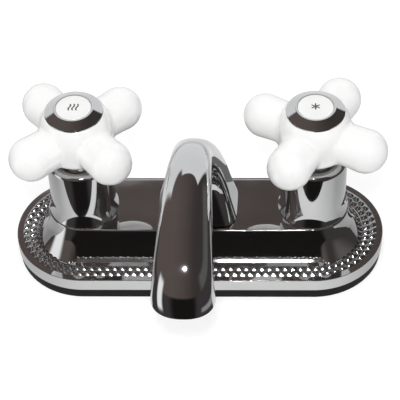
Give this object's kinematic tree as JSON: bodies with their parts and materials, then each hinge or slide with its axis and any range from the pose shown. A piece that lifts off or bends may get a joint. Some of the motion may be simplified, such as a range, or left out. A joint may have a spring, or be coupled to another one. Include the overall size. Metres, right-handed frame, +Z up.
{
  "type": "basin mixer",
  "caption": "Deck-mounted basin mixer: racetrack base with rope border, bell-footed columns, porcelain cross handles and a swivelling arched spout.",
  "frame": {"origin": "on the deck's surface, under the base gasket, midway between the two supply shanks", "axes": "+Z up off the deck; -Y towards the basin, the way the spout reaches; +X to the cold handle, on the right of someone who stands at the basin"},
  "size_m": [0.165, 0.1224, 0.1387],
  "materials": {
    "chrome_base": "polished",
    "chrome_columns": "polished",
    "chrome_spout": "polished",
    "chrome_trim": "polished",
    "porcelain": "gloss",
    "button_white": "gloss",
    "gasket": "satin",
    "brass": "satin",
    "copper_tube": "satin",
    "disc_ceramic": "satin",
    "seal_rubber": "matte",
    "white_acetal": "satin",
    "steel_hardware": "satin"
  },
  "bodies": {
    "base": {"cover_plate": "chrome_base", "base_gasket": "gasket", "spout_hub": "brass", "spout_o_rings": "seal_rubber", "spout_glide_ring": "white_acetal", "mounting_washers": "steel_hardware", "mounting_nuts": "brass", "hot_valve_body": "brass", "cold_valve_body": "brass", "hot_crossover_tube": "copper_tube", "cold_crossover_tube": "copper_tube", "hot_seat_seal": "seal_rubber", "cold_seat_seal": "seal_rubber", "hot_cartridge_body": "brass", "cold_cartridge_body": "brass", "hot_bonnet_washer": "seal_rubber", "cold_bonnet_washer": "seal_rubber", "hot_lower_disc": "disc_ceramic", "cold_lower_disc": "disc_ceramic", "hot_column_sleeve": "chrome_columns", "cold_column_sleeve": "chrome_columns"},
    "hot_handle": {"hot_handle_cross": "porcelain", "hot_handle_insert": "brass", "hot_handle_cap": "chrome_trim", "hot_index_button": "button_white", "hot_handle_screw": "steel_hardware", "hot_stem": "brass", "hot_stem_o_rings": "seal_rubber", "hot_stem_clip": "steel_hardware", "hot_upper_disc": "disc_ceramic"},
    "cold_handle": {"cold_handle_cross": "porcelain", "cold_handle_insert": "brass", "cold_handle_cap": "chrome_trim", "cold_index_button": "button_white", "cold_handle_screw": "steel_hardware", "cold_stem": "brass", "cold_stem_o_rings": "seal_rubber", "cold_stem_clip": "steel_hardware", "cold_upper_disc": "disc_ceramic"},
    "swivel_spout": {"spout": "chrome_spout", "spout_set_screw": "steel_hardware", "aerator_housing": "chrome_trim", "aerator_insert": "white_acetal", "aerator_washer": "seal_rubber"}
  },
  "joints": [
    {"name": "hot_handle_turn", "type": "hinge", "parent": "base", "child": "hot_handle", "pos_m": [-0.0508, 0, 0.059], "axis": [0, 0, 1], "range_deg": [0, 90]},
    {"name": "cold_handle_turn", "type": "hinge", "parent": "base", "child": "cold_handle", "pos_m": [0.0508, 0, 0.059], "axis": [0, 0, 1], "range_deg": [-90, 0]},
    {"name": "spout_swivel", "type": "hinge", "parent": "base", "child": "swivel_spout", "pos_m": [0, 0, 0.0284], "axis": [0, 0, 1], "range_deg": [-23, 27]}
  ]
}
